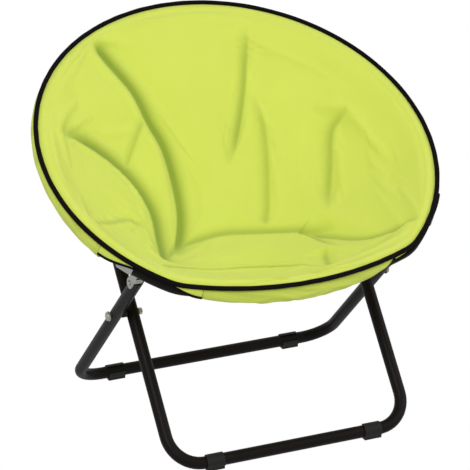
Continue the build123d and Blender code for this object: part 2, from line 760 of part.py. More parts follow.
cross = Vector(0, cross_y, cross_z)
leg_fold = direction(cross, front_pivot) - direction(cross, rear_pivot) - radians(folded_leg_angle)
front_folded = turn_about(front_pivot, cross, -leg_fold)
link_front = hypot(front_pivot.Y - hinge_pivot.Y, front_pivot.Z - hinge_pivot.Z)
link_rear = hypot(rear_pivot.Y - hinge_pivot.Y, rear_pivot.Z - hinge_pivot.Z)
span = hypot(rear_pivot.Y - front_folded.Y, rear_pivot.Z - front_folded.Z)
inner_angle = acos((link_rear**2 + span**2 - link_front**2) / (2 * link_rear * span))
hinge_direction = direction(rear_pivot, front_folded) + inner_angle
hoop_swing = hinge_direction - direction(rear_pivot, hinge_pivot)
hinge_folded = turn_about(hinge_pivot, rear_pivot, hoop_swing)
front_turn = direction(hinge_folded, front_folded) - direction(hinge_pivot, front_pivot)
hinge_swing = hoop_swing - front_turn
print("front bar", front_bar_y, "rear bar", rear_bar_y)
print("cross bolt", cross_y, cross_z)
print("rear pivot", rear_pivot.Y, rear_pivot.Z)
print("front pivot", front_pivot.Y, front_pivot.Z)
print("hinge", hinge_pivot.Y, hinge_pivot.Z, "x", hinge_x)
print("leg fold", degrees(leg_fold), "hoop swing", degrees(hoop_swing), "hinge swing", degrees(hinge_swing) % 360)
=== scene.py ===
import json
from math import atan2, cos, radians, sin, sqrt, tau
from typing import NamedTuple

import bmesh
import bpy
import numpy as np
from mathutils import Matrix, Vector


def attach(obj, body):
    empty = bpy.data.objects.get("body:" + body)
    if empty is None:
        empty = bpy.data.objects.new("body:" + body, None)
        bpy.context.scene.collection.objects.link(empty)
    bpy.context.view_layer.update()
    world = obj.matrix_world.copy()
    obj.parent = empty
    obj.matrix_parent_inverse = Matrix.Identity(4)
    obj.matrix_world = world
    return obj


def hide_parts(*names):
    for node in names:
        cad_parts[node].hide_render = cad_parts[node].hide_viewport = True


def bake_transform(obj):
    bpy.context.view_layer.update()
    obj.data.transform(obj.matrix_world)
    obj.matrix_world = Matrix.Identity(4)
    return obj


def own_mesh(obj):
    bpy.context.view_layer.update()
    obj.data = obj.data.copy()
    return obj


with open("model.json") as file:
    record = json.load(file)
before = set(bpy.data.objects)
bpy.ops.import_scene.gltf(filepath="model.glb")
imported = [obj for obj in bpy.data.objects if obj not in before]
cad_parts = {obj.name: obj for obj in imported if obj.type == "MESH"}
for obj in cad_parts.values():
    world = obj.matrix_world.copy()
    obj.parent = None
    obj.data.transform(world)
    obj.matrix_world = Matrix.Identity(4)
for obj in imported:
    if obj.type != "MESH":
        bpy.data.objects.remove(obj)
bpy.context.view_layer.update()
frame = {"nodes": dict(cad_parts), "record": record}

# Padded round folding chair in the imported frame: metres, +Z up, the chair faces -Y.

nodes = frame["nodes"]
scene = bpy.context.scene

# Hoop of the frame, as in the solids: round, with a flatter front between two tighter corners
HOOP_R = 0.407
HOOP_FRONT = 0.368
FRONT_R = 0.700
CORNER_R = 0.100
HOOP_TILT = radians(28.2)
HOOP_HEIGHT = 0.5595
TUBE_INSET = 0.007
TUBE_UNDER = 0.0192
SOLID_PIPING_R = 0.0045
SOLID_SLEEVE_R = 0.0144
HINGE_W = -0.135
CUTOUT_REAR_W = -0.193
CUTOUT_FRONT_X = 0.200
BRACKET_X = 0.255
BRACKET_CLEAR = 0.020

# Sewn parts round the rim
PIPING_R = 0.0046
SLEEVE_R = 0.0142
FOLD_ZONE = 0.025

HALF_TURN = tau / 2
TUBE_DROP = sqrt(TUBE_UNDER**2 - TUBE_INSET**2)
RING_R = HOOP_R - TUBE_INSET
FRONT_CENTRE_W = FRONT_R - HOOP_FRONT


class HoopFrame:
    """Axes of the tilted hoop: x to the right, w up the slope, n out of the seat."""

    slope = np.array([0.0, cos(HOOP_TILT), sin(HOOP_TILT)])
    out = np.array([0.0, -sin(HOOP_TILT), cos(HOOP_TILT)])
    side = np.array([1.0, 0.0, 0.0])
    front_reach = HOOP_FRONT * cos(HOOP_TILT) + SOLID_PIPING_R
    rear_reach = RING_R * cos(HOOP_TILT) + TUBE_DROP * sin(HOOP_TILT) + SOLID_SLEEVE_R
    centre = np.array([0.0, (front_reach - rear_reach) / 2, HOOP_HEIGHT])

    @classmethod
    def place(cls, x, w, n):
        """Row frame points of the hoop coordinates x, w and n: centre plus each times its axis."""
        x, w, n = np.broadcast_arrays(x, w, n)
        return cls.centre + x[..., None] * cls.side + w[..., None] * cls.slope + n[..., None] * cls.out


def corner_centre():
    """Centre of the right corner arc, which touches the round and the flatter front from inside."""
    a = HOOP_R - CORNER_R
    b = FRONT_R - CORNER_R
    w = (a * a - b * b + FRONT_CENTRE_W**2) / (2 * FRONT_CENTRE_W)
    return sqrt(a * a - w * w), w


CORNER_X, CORNER_W = corner_centre()
ROUND_END = atan2(CORNER_W, CORNER_X)
FRONT_END = atan2(CORNER_W - FRONT_CENTRE_W, CORNER_X)


class Rim:
    """The hoop outline by arc length s, anticlockwise from where the right corner meets the round."""

    centre_x = np.array([0.0, -CORNER_X, 0.0, CORNER_X])
    centre_w = np.array([0.0, CORNER_W, FRONT_CENTRE_W, CORNER_W])
    radius = np.array([HOOP_R, CORNER_R, FRONT_R, CORNER_R])
    first = np.array([ROUND_END, HALF_TURN - ROUND_END, HALF_TURN - FRONT_END, tau + FRONT_END])
    last = np.array([HALF_TURN - ROUND_END, HALF_TURN - FRONT_END, tau + FRONT_END, tau + ROUND_END])
    start = np.concatenate(([0.0], np.cumsum(radius * (last - first))))
    length = float(start[-1])

    @classmethod
    def angle(cls, s):
        """Arc number and direction of the outward normal at s: first angle plus length over radius."""
        s = np.mod(s, cls.length)
        k = np.clip(np.searchsorted(cls.start, s, side="right") - 1, 0, len(cls.radius) - 1)
        return k, cls.first[k] + (s - cls.start[k]) / cls.radius[k]

    @classmethod
    def point(cls, s, inset=0.0):
        """x and w of the outline at s, moved inwards by inset along its normal."""
        k, a = cls.angle(s)
        r = cls.radius[k] - inset
        return cls.centre_x[k] + r * np.cos(a), cls.centre_w[k] + r * np.sin(a)

    @classmethod
    def at_w(cls, w, side):
        """Arc length where the tube's round has the slope coordinate w, on the right (+1) or left (-1)."""
        a = np.arcsin(w / RING_R)
        a = a if side > 0 else HALF_TURN - a
        return float(HOOP_R * (a - ROUND_END))

    @classmethod
    def front_at_x(cls, x):
        """Arc length on the flatter front where the tube has the side coordinate x."""
        middle = (cls.start[2] + cls.start[3]) / 2
        return float(middle + FRONT_R * np.arcsin(x / (FRONT_R - TUBE_INSET)))

    @classmethod
    def inset_of(cls, x, w):
        """Distance of a point inwards from the outline, measured to the arc whose sector holds it."""
        x = np.abs(x)
        on_round = np.arctan2(w, x) >= ROUND_END
        on_front = np.arctan2(w - FRONT_CENTRE_W, x) <= FRONT_END
        corner = CORNER_R - np.hypot(x - CORNER_X, w - CORNER_W)
        rounded = HOOP_R - np.hypot(x, w)
        front = FRONT_R - np.hypot(x, w - FRONT_CENTRE_W)
        return np.select([on_round, on_front], [rounded, front], corner)


def along_rim(s, phi, level, radius, inset=0.0):
    """Tube round the rim: its point at s, plus radius by cos phi along the normal and sin phi along n."""
    _, a = Rim.angle(s)
    x, w = Rim.point(s, inset)
    reach = radius * np.cos(phi)
    return HoopFrame.place(x + reach * np.cos(a), w + reach * np.sin(a), level + radius * np.sin(phi))


def smooth_step(share):
    """Share held between 0 and 1 and eased at both ends: three times its square less twice its cube."""
    held = np.clip(share, 0, 1)
    return held * held * (3 - 2 * held)


RIPPLE_WAVES = 7
RIPPLE_RATE = (0.5, 1.6)
RIPPLE_TURNS = 4


def ripple(s, phi, seed, scale):
    """Sum of seeded sine waves along and round a tube, over the root of their count."""
    rng = np.random.default_rng(seed)
    total = np.zeros(np.broadcast(s, phi).shape)
    for _ in range(RIPPLE_WAVES):
        along = rng.uniform(*RIPPLE_RATE) * tau / scale
        turns = rng.integers(0, RIPPLE_TURNS)
        total = total + np.sin(along * s + turns * phi + rng.uniform(0, tau))
    return total / sqrt(RIPPLE_WAVES)


# Meshes from grids

def make_object(name, vertices, faces, uv=None):
    """Smooth mesh object from vertices and faces, with an optional flat coordinate per vertex as UV map."""
    mesh = bpy.data.meshes.new(name)
    mesh.from_pydata(vertices.reshape(-1, 3), [], faces)
    if uv is not None:
        layer = mesh.uv_layers.new(name="flat")
        corner = np.empty(len(mesh.loops), dtype=np.int32)
        mesh.loops.foreach_get("vertex_index", corner)
        layer.data.foreach_set("uv", uv.reshape(-1, 2)[corner].astype(np.float32).ravel())
    mesh.polygons.foreach_set("use_smooth", np.full(len(mesh.polygons), True))
    mesh.update()
    obj = bpy.data.objects.new(name, mesh)
    scene.collection.objects.link(obj)
    return obj


def grid_faces(rows, columns, wrap_rows=False, wrap_columns=False, flip=False):
    """Quads of a rows by columns grid of vertices, joined end to end where it wraps."""
    i = np.arange(rows if wrap_rows else rows - 1)[:, None]
    j = np.arange(columns if wrap_columns else columns - 1)[None, :]
    i_next = (i + 1) % rows
    j_next = (j + 1) % columns
    corners = [(i, j), (i_next, j), (i_next, j_next), (i, j_next)]
    quads = np.stack([row * columns + column for row, column in corners], -1).reshape(-1, 4)
    return quads[:, ::-1] if flip else quads


def add_attribute(obj, name, values):
    """One number per vertex, for a material to read by name."""
    layer = obj.data.attributes.new(name, "FLOAT", "POINT")
    layer.data.foreach_set("value", np.asarray(values, np.float32).ravel())


def rim_tube(name, s, phi, level, radius, closed_s, inset=0.0):
    """Tube object along the rim on a grid of s by phi, with flat ends where it isn't a ring."""
    rows, columns = s.shape
    points = along_rim(s, phi, level, radius, inset)
    faces = grid_faces(rows, columns, wrap_rows=closed_s, wrap_columns=True).tolist()
    if not closed_s:
        faces.append(list(range(columns)))
        faces.append(list(range((rows - 1) * columns, rows * columns))[::-1])
    return make_object(name, points, faces, np.stack([s, phi * SLEEVE_R], -1))


def resample(values, count, wrap=False):
    """Catmull-Rom curve through the rows of values, count rows long, joined end to end where it wraps.

    Between b and c, with a before and d after them, it is half of a cubic in the share f of the way.
    """
    n = len(values)
    t = np.arange(count) * n / count if wrap else np.linspace(0, n - 1, count)
    k = t.astype(int)
    f = (t - k).reshape(-1, *[1] * (values.ndim - 1))
    rows = [np.mod(k + m, n) if wrap else np.clip(k + m, 0, n - 1) for m in (-1, 0, 1, 2)]
    a, b, c, d = (values[row] for row in rows)
    square = 2 * a - 5 * b + 4 * c - d
    cube = 3 * b - a - 3 * c + d
    return 0.5 * (2 * b + (c - a) * f + square * f**2 + cube * f**3)


# Shader values that take arithmetic

class Socket:
    """A shader value: + - and * between sockets and numbers add Math nodes to its tree."""

    def __init__(self, shading, output):
        self.shading = shading
        self.output = output

    def math(self, operation, *values):
        """Math node of the values, in their order."""
        return self.shading.node("Math", 0, {"operation": operation}, dict(enumerate(values)))

    def __add__(self, other):
        return self.math("ADD", self, other)

    def __radd__(self, other):
        return self.math("ADD", other, self)

    def __sub__(self, other):
        return self.math("SUBTRACT", self, other)

    def __rsub__(self, other):
        return self.math("SUBTRACT", other, self)

    def __mul__(self, other):
        return self.math("MULTIPLY", self, other)

    def __rmul__(self, other):
        return self.math("MULTIPLY", other, self)

    def wave(self, pitch):
        """Sine with one turn to the pitch."""
        return self.math("SINE", self * (tau / pitch))

    def between(self, low, high):
        """A value from 0 to 1 spread over the range from low to high."""
        return self * (high - low) + low

    def clamp(self):
        """The value held between 0 and 1."""
        return self.shading.node("Clamp", 0, {}, {0: self})


class Shading:
    """A node tree whose nodes all come from one method."""

    def __init__(self, tree):
        self.tree = tree

    def feed(self, slot, value):
        """Link a socket to a shader value, or set it to a number or a colour."""
        if isinstance(value, Socket):
            self.tree.links.new(value.output, slot)
        else:
            slot.default_value = (*value, 1.0) if slot.type == "RGBA" else value

    def node(self, kind, output, settings, sockets):
        """An output of a new node: its settings are set first, then its sockets by name or number."""
        node = self.tree.nodes.new(f"ShaderNode{kind}")
        for name, value in settings.items():
            setattr(node, name, value)
        for slot, value in sockets.items():
            self.feed(node.inputs[slot], value)
        return Socket(self, node.outputs[output])


# Numbers of a Mix node's colour sockets
MIX_LOW = 6
MIX_HIGH = 7
MIX_RESULT = 2


class Material(Shading):
    """A Principled material with helpers for coordinates, noise, mixes and bumps."""

    def __init__(self, name):
        self.material = bpy.data.materials.new(name)
        self.material.use_nodes = True
        super().__init__(self.material.node_tree)
        self.shader = self.tree.nodes["Principled BSDF"]

    def coordinates(self, kind):
        """Object coordinates or the piece's UV map."""
        return self.node("TexCoord", kind, {}, {})

    def axis(self, kind, index):
        """One coordinate by its number."""
        return self.node("SeparateXYZ", index, {}, {0: self.coordinates(kind)})

    def attribute(self, name):
        """The piece's own number per vertex."""
        return self.node("Attribute", "Fac", {"attribute_name": name}, {})

    def noise(self, kind, scale, detail=3.0):
        """Noise from 0 to 1."""
        sockets = {"Vector": self.coordinates(kind), "Scale": scale, "Detail": detail}
        return self.node("TexNoise", "Fac", {}, sockets)

    def mix(self, factor, low, high):
        """Colour between low and high by factor."""
        sockets = {"Factor": factor, MIX_LOW: low, MIX_HIGH: high}
        return self.node("Mix", MIX_RESULT, {"data_type": "RGBA"}, sockets)

    def set(self, **values):
        """Feed the material's own sockets, with spaces written as underscores."""
        for name, value in values.items():
            self.feed(self.shader.inputs[name.replace("_", " ")], value)

    def bump(self, height, distance):
        """Relief in which a height of one stands for the distance."""
        sockets = {"Height": height, "Distance": distance, "Strength": 1.0}
        self.set(Normal=self.node("Bump", "Normal", {}, sockets))


def linear(r, g, b):
    """Scene colour of a screen colour given from 0 to 255, by the standard screen curve."""
    c = np.array([r, g, b]) / 255.0
    return tuple(np.where(c <= 0.04045, c / 12.92, ((c + 0.055) / 1.055) ** 2.4).tolist())


LIME = linear(211, 224, 90)
# Deeper lime that both the painted shade and the fabric's own faint mottle mix towards
LIME_PAINTED_SHADE_AND_MOTTLE = linear(128, 152, 34)
PIPING_BLACK = linear(9, 7, 6)
PIPING_WORN = linear(16, 13, 12)
TUBE_BROWN = linear(15, 10, 9)
TUBE_SCUFFED = linear(30, 22, 19)
ZINC = linear(178, 178, 172)
ZINC_DULL = linear(150, 150, 145)
PLASTIC_BLACK = linear(12, 12, 12)
PLASTIC_WORN = linear(32, 31, 30)
WEAVE_PITCH = 0.0011
PIPING_RIB_PITCH = 0.0016
CREASE_PAINTED_SHADE = 0.85
MOTTLE_SHADE = 0.10
PUCKER_SHARE = 1.5
SCUFF_ABOVE = 0.56
SCUFF_CONTRAST = 6.0
SCUFF_SHADE = 0.35


def make_lime():
    """Lime fabric, with painted shade in the creases and seams, on the sleeves, flaps and underside, and a
    faint mottle of its own: a weave of two crossed sines, puckered.
    """
    m = Material("lime_fabric")
    # The crease attribute is painted shade: darker along creases, seams and sleeve folds, and evenly darker
    # on the sleeves, flaps and underside.
    crease = m.attribute("crease").clamp()
    mottle = m.noise("Object", scale=9.0) * MOTTLE_SHADE
    depth = (crease * CREASE_PAINTED_SHADE + mottle).clamp()
    m.set(Base_Color=m.mix(depth, LIME, LIME_PAINTED_SHADE_AND_MOTTLE))
    m.set(Roughness=m.noise("UV", scale=900.0).between(0.78, 0.90))
    m.set(Sheen_Weight=0.12, Specular_IOR_Level=0.25)
    weave = m.axis("UV", 0).wave(WEAVE_PITCH) * m.axis("UV", 1).wave(WEAVE_PITCH)
    m.bump(weave + m.noise("Object", scale=60.0) * PUCKER_SHARE, distance=0.00018)
    return m.material


def make_piping_fabric():
    """Black binding fabric with fine ribs across the cord."""
    m = Material("black_piping")
    ribs = m.axis("UV", 0).wave(PIPING_RIB_PITCH)
    m.set(Base_Color=m.mix(m.noise("UV", scale=300.0), PIPING_BLACK, PIPING_WORN), Roughness=0.8)
    m.set(Specular_IOR_Level=0.06)
    m.bump(ribs + m.noise("Object", scale=400.0), distance=0.00015)
    return m.material


def make_tube_paint():
    """Dark brown satin paint with a fine speckle and a few scuffs."""
    m = Material("painted_tube")
    speckle = m.noise("Object", scale=1400.0, detail=2.0)
    scuff = (m.noise("Object", scale=35.0, detail=6.0) - SCUFF_ABOVE) * SCUFF_CONTRAST
    m.set(Base_Color=m.mix(scuff.clamp() * SCUFF_SHADE, TUBE_BROWN, TUBE_SCUFFED))
    m.set(Roughness=speckle.between(0.38, 0.50), Specular_IOR_Level=0.10)
    m.bump(speckle, distance=0.00006)
    return m.material


def make_zinc():
    """Dull zinc plating with an even grain."""
    m = Material("zinc_steel")
    grain = m.noise("Object", scale=500.0, detail=4.0)
    m.set(Base_Color=m.mix(grain, ZINC_DULL, ZINC), Metallic=0.9, Roughness=grain.between(0.3, 0.5))
    m.bump(grain, distance=0.00004)
    return m.material


def make_plastic():
    """Black moulded plastic with a fine grain."""
    m = Material("black_plastic")
    grain = m.noise("Object", scale=900.0, detail=2.0)
    m.set(Base_Color=m.mix(grain, PLASTIC_BLACK, PLASTIC_WORN), Roughness=grain.between(0.5, 0.65))
    m.set(Specular_IOR_Level=0.2)
    m.bump(grain, distance=0.00008)
    return m.material


slot_material = {
    "lime_fabric": make_lime(),
    "black_piping": make_piping_fabric(),
    "painted_tube": make_tube_paint(),
    "zinc_steel": make_zinc(),
    "black_plastic": make_plastic(),
}


def dress(obj, slot):
    """Give a new piece its slot's material."""
    obj.data.materials.clear()
    obj.data.materials.append(slot_material[slot])
    return obj


for entry in frame["record"]["subparts"]:
    solid = nodes[entry["node"]]
    solid.data.materials.clear()
    solid.data.materials.append(slot_material[entry["material_slot"]])
    solid.data.polygons.foreach_set("use_smooth", np.full(len(solid.data.polygons), True))


# Pad: a bowl inside the rim
PAD_INSET = 0.0217
PAD_DEPTH = 0.150
PAD_DEEPEST_W = -0.095
PAD_FULLNESS = 2.5
PAD_SAG_END = 0.004
PAD_THICK = 0.028
PAD_EDGE_DROP = 0.005
PAD_EDGE_T = 0.012
PAD_FRONT_W = PAD_INSET - HOOP_FRONT
PAD_REAR_W = HOOP_R - PAD_INSET
PAD_LENGTH = PAD_REAR_W - PAD_FRONT_W
LEAST_SQUARE = 1e-6


def pad_half_width(w):
    """Half width of the pad's outline at w: on the round, the corner arc or the flatter front."""
    round_r = HOOP_R - PAD_INSET
    corner_r = CORNER_R - PAD_INSET
    front_r = FRONT_R - PAD_INSET
    round_w = round_r * sin(ROUND_END)
    front_w = FRONT_CENTRE_W + front_r * sin(FRONT_END)
    rounded = np.sqrt(np.maximum(round_r**2 - w**2, LEAST_SQUARE))
    corner = CORNER_X + np.sqrt(np.maximum(corner_r**2 - (w - CORNER_W) ** 2, 0))
    front = np.sqrt(np.maximum(front_r**2 - (FRONT_CENTRE_W - w) ** 2, LEAST_SQUARE))
    return np.select([w > round_w, w > front_w], [rounded, corner], front)


def pad_sag(w):
    """Depth on the middle line: a rise from the front times a fall to the back, both of them powers."""
    share = np.clip((w - PAD_FRONT_W) / PAD_LENGTH, PAD_SAG_END, 1 - PAD_SAG_END)
    deepest = (PAD_DEEPEST_W - PAD_FRONT_W) / PAD_LENGTH
    rise = (share / deepest) ** (PAD_FULLNESS * deepest)
    fall = ((1 - share) / (1 - deepest)) ** (PAD_FULLNESS * (1 - deepest))
    return PAD_DEPTH * rise * fall


def bowl_depth(x, w):
    """Depth under the rim: at each w a circular arc across the half width with that line's sag."""
    half = pad_half_width(w)
    sag = pad_sag(w)
    radius = (half**2 + sag**2) / (2 * sag)
    inside = np.sqrt(np.maximum(radius**2 - np.minimum(np.abs(x), half) ** 2, 0))
    return sag - radius + inside


def line_distance(x, w, line):
    """Signed distance to a sampled line, positive on its left, and the share of its length at the foot."""
    a, b = line[:-1], line[1:]
    run = b - a
    length2 = (run**2).sum(1)
    best = np.full(x.shape, np.inf)
    signed = np.zeros(x.shape)
    share = np.zeros(x.shape)
    for k in range(len(run)):
        dx, dw = x - a[k, 0], w - a[k, 1]
        t = np.clip((dx * run[k, 0] + dw * run[k, 1]) / length2[k], 0, 1)
        d = np.hypot(dx - t * run[k, 0], dw - t * run[k, 1])
        nearer = d < best
        cross = run[k, 0] * dw - run[k, 1] * dx
        best = np.where(nearer, d, best)
        signed = np.where(nearer, np.where(cross >= 0, d, -d), signed)
        share = np.where(nearer, (k + t) / len(run), share)
    return signed, share


class Crease(NamedTuple):
    """A crease along points in x and w: its depth, the widths of its sides and the fades of its ends."""

    points: list
    depth: float
    left: float
    right: float
    fade_in: float
    fade_out: float


CREASES = {
    "left of the back, down to the seat": Crease(
        [(-0.200, 0.335), (-0.141, 0.236), (-0.122, 0.170), (-0.102, 0.102), (-0.107, -0.007),
         (-0.134, -0.085), (-0.172, -0.145)],
        depth=0.023, left=0.052, right=0.011, fade_in=0.05, fade_out=0.16),
    "branch towards the left arm": Crease(
        [(-0.128, 0.172), (-0.165, 0.120), (-0.202, 0.065)],
        depth=0.008, left=0.008, right=0.030, fade_in=0.2, fade_out=0.2),
    "left arm, down to the front": Crease(
        [(-0.350, 0.112), (-0.279, 0.114), (-0.206, 0.058), (-0.175, -0.019), (-0.188, -0.113),
         (-0.205, -0.190)],
        depth=0.021, left=0.055, right=0.011, fade_in=0.24, fade_out=0.10),
    "left side": Crease(
        [(-0.365, -0.120), (-0.290, -0.085), (-0.236, -0.062), (-0.206, -0.090)],
        depth=0.008, left=0.022, right=0.012, fade_in=0.15, fade_out=0.3),
    "right of the back, down to the middle": Crease(
        [(0.146, 0.330), (0.128, 0.270), (0.094, 0.180), (0.057, 0.105), (0.020, 0.050)],
        depth=0.013, left=0.009, right=0.036, fade_in=0.30, fade_out=0.35),
    "middle, down to the seat": Crease(
        [(0.112, 0.200), (0.121, 0.111), (0.082, -0.036), (0.055, -0.093)],
        depth=0.009, left=0.012, right=0.034, fade_in=0.35, fade_out=0.2),
    "right arm": Crease(
        [(0.300, 0.092), (0.255, 0.070), (0.222, -0.015), (0.180, -0.115)],
        depth=0.010, left=0.012, right=0.036, fade_in=0.3, fade_out=0.25),
    "across the seat": Crease(
        [(-0.205, -0.175), (-0.140, -0.112), (-0.054, -0.090), (0.021, -0.097), (0.118, -0.124),
         (0.190, -0.160)],
        depth=0.012, left=0.036, right=0.014, fade_in=0.03, fade_out=0.2),
    "seat, towards the front": Crease(
        [(0.120, -0.122), (0.133, -0.145), (0.158, -0.221)],
        depth=0.012, left=0.022, right=0.008, fade_in=0.1, fade_out=0.4),
    "seat, towards the right corner": Crease(
        [(0.130, -0.128), (0.180, -0.190), (0.216, -0.226), (0.264, -0.247), (0.300, -0.258)],
        depth=0.012, left=0.030, right=0.008, fade_in=0.1, fade_out=0.25),
    "front roll": Crease(
        [(0.135, -0.205), (0.117, -0.255), (0.112, -0.305)],
        depth=0.010, left=0.010, right=0.022, fade_in=0.3, fade_out=0.3),
}
CREASE_SAMPLES = 40
CREASE_POWER = 1.75
CREASE_LIMIT = 0.026
CREASE_CORE = 0.35
# Crease depth at which the painted shade along a crease's core is full
CREASE_DARK_DEPTH = 0.020
PANEL_PUFF = 0.009
PUFF_REACH = 0.050

# Seams of the front roll, with their depths
SEAM_DEPTH = 0.005
SEAM_WIDTH = 0.0035
SEAM_CORE = 0.75
SEAM_PAINTED_SHADE = 0.7
SEAM_FADE = 0.3
FRONT_SEAM = [
    (-0.255, -0.232), (-0.205, -0.208), (-0.100, -0.205), (-0.020, -0.208), (0.060, -0.235),
    (0.110, -0.270),
]
CORNER_SEAM = [(-0.212, -0.208), (-0.214, -0.262)]
CORNER_SEAM_SHARE = 0.6
SEAMS = ((FRONT_SEAM, SEAM_DEPTH), (CORNER_SEAM, SEAM_DEPTH * CORNER_SEAM_SHARE))


def crease_field(x, w):
    """Height of the creases and seams, and the painted shade along them.

    Each crease sinks by its depth times a bell across it, wide on one side and steep on the other, and
    fades towards its ends. A seam sinks by a narrow bell. The sum is limited by a tanh curve, so that it
    stays within the pad's thickness. Between them the panels stand up by a puff that grows with the
    distance to the nearest one.
    """
    height = np.zeros(x.shape)
    dark = np.zeros(x.shape)
    nearest = np.full(x.shape, 1.0)
    for crease in CREASES.values():
        signed, share = line_distance(x, w, resample(np.array(crease.points), CREASE_SAMPLES))
        width = np.where(signed >= 0, crease.left, crease.right)
        ends = np.clip(share / crease.fade_in, 0, 1) * np.clip((1 - share) / crease.fade_out, 0, 1)
        fade = smooth_step(ends)
        bell = np.exp(-(np.abs(signed / width) ** CREASE_POWER)) * fade
        height = height - crease.depth * bell
        # Painted shade along the crease's core, darker for deeper creases.
        core = np.exp(-((signed / (CREASE_CORE * width)) ** 2)) * fade
        dark = np.maximum(dark, core * crease.depth / CREASE_DARK_DEPTH)
        nearest = np.minimum(nearest, np.abs(signed) + (1 - fade) * PUFF_REACH)
    for points, depth in SEAMS:
        signed, share = line_distance(x, w, resample(np.array(points), CREASE_SAMPLES))
        fade = np.clip((1 - share) / SEAM_FADE, 0, 1)
        height = height - depth * np.exp(-((signed / SEAM_WIDTH) ** 2)) * fade
        # Painted shade along the seam's groove.
        dark = np.maximum(dark, SEAM_PAINTED_SHADE * np.exp(-((signed / (SEAM_CORE * SEAM_WIDTH)) ** 2)) * fade)
        nearest = np.minimum(nearest, np.abs(signed) + (1 - fade) * PUFF_REACH)
    sunk = CREASE_LIMIT * np.tanh(height / CREASE_LIMIT)
    return sunk + PANEL_PUFF * (1 - np.exp(-((nearest / PUFF_REACH) ** 2))), dark


# Faces of the pad: grid, and how the upper one meets the rim
PAD_AROUND = 520
PAD_ACROSS = 156
PAD_ACROSS_LOW = 30
PAD_MIDDLE_W = -0.02
PAD_HUB = 0.004
PAD_RING_POWER = 0.85
PAD_TUCK = 0.0040
PAD_LEAST_T = 0.0008
PAD_OVER_SLEEVE = 0.0006
EDGE_EASE_INSET = 0.010
EDGE_EASE_REACH = 0.026
EDGE_PUFF = 0.005
EDGE_PUFF_INSET = 0.034
EDGE_PUFF_REACH = 0.024
ROLL_R = 0.0160
ROLL_BLEND = 0.006
ROLL_BLEND_LEAST = 0.001
ROLL_BLEND_REACH = 0.008
FAR_BELOW = -1.0
UNDERSIDE_PAINTED_SHADE = 0.25


def tube_top(inset, radius):
    """Height of a tube round the hoop at a distance in from the rim, or far below beside the tube."""
    room = radius**2 - (inset - TUBE_INSET) ** 2
    return np.where(room > 0, -TUBE_DROP + np.sqrt(np.maximum(room, 0)), FAR_BELOW)


def soft_max(a, b, blend):
    """Greater of a and b, rounded over where they meet.

    It is half of a sum: a, b and the root of the summed squares of their difference and of blend.
    """
    return (a + b + np.sqrt((a - b) ** 2 + blend**2)) / 2


def pad_surfaces(around, across):
    """Upper and lower faces of the pad on a grid of rim arc length by share of the way out from the middle.

    The upper face is the bowl with the crease heights added, and rolls over the tube's sleeve up to the
    piping. The lower face lies a thickness below the bowl, and stays above the sleeve at the rim.
    """
    s = np.linspace(0, Rim.length, around, endpoint=False)
    t = np.linspace(PAD_HUB, 1, across) ** PAD_RING_POWER
    grid_s, grid_t = np.meshgrid(s, t, indexing="ij")
    rim_x, rim_w = Rim.point(grid_s, PAD_TUCK)
    x = grid_t * rim_x
    w = PAD_MIDDLE_W + grid_t * (rim_w - PAD_MIDDLE_W)
    inset = Rim.inset_of(x, w)
    height, dark = crease_field(x, w)
    ease = smooth_step((inset - EDGE_EASE_INSET) / EDGE_EASE_REACH)
    bowl = -(PAD_EDGE_DROP + bowl_depth(x, w))
    height = height * ease + EDGE_PUFF * np.exp(-(((inset - EDGE_PUFF_INSET) / EDGE_PUFF_REACH) ** 2))
    roll = tube_top(inset, ROLL_R)
    blend = ROLL_BLEND_LEAST + ROLL_BLEND * np.clip((inset - PAD_TUCK) / ROLL_BLEND_REACH, 0, 1)
    top = np.where(roll > FAR_BELOW, soft_max(bowl + height, roll, blend), bowl + height)
    thick = PAD_EDGE_T + (PAD_THICK - PAD_EDGE_T) * ease
    low = np.maximum(bowl - thick, tube_top(inset, SLEEVE_R + PAD_OVER_SLEEVE))
    low = np.minimum(low, top - PAD_LEAST_T)
    # The last value is the painted shade of the creases and seams, eased away near the rim.
    return x, w, inset, HoopFrame.place(x, w, top), HoopFrame.place(x, w, low), dark * ease


def closed_faces(around, across, across_low):
    """Faces of a closed bowl's two grids: upper, lower, a band at the rim and a small cap on each side."""
    count = around * across
    upper = grid_faces(around, across, wrap_rows=True)
    lower = grid_faces(around, across_low, wrap_rows=True, flip=True) + count
    row = np.arange(around)
    outer = row * across + across - 1
    under = row * across_low + across_low - 1 + count
    band = np.stack([outer, np.roll(outer, -1), np.roll(under, -1), under], -1)
    faces = upper.tolist() + lower.tolist() + band[:, ::-1].tolist()
    faces.append((row * across).tolist()[::-1])
    faces.append((row * across_low + count).tolist())
    return faces


# Cloth run that swells the panels
SWELL_AROUND = 160
SWELL_ACROSS = 56
SWELL_FRAMES = 20
SWELL_PRESSURE = 4.0
SWELL_CAP = 0.008
SWELL_HOLD = 0.020
SWELL_HOLD_FADE = 0.008
CREASE_HOLD = 1.8
PIN_LEVELS = 10
LEAST_MOVE = 1e-9


def hold_in_place(obj, weights):
    """Vertex group of pins whose weights are rounded to a few levels."""
    group = obj.vertex_groups.new(name="pins")
    rounded = np.rint(weights * PIN_LEVELS).astype(int)
    for level in range(1, PIN_LEVELS + 1):
        group.add(np.flatnonzero(rounded == level).tolist(), level / PIN_LEVELS, "REPLACE")
    return group


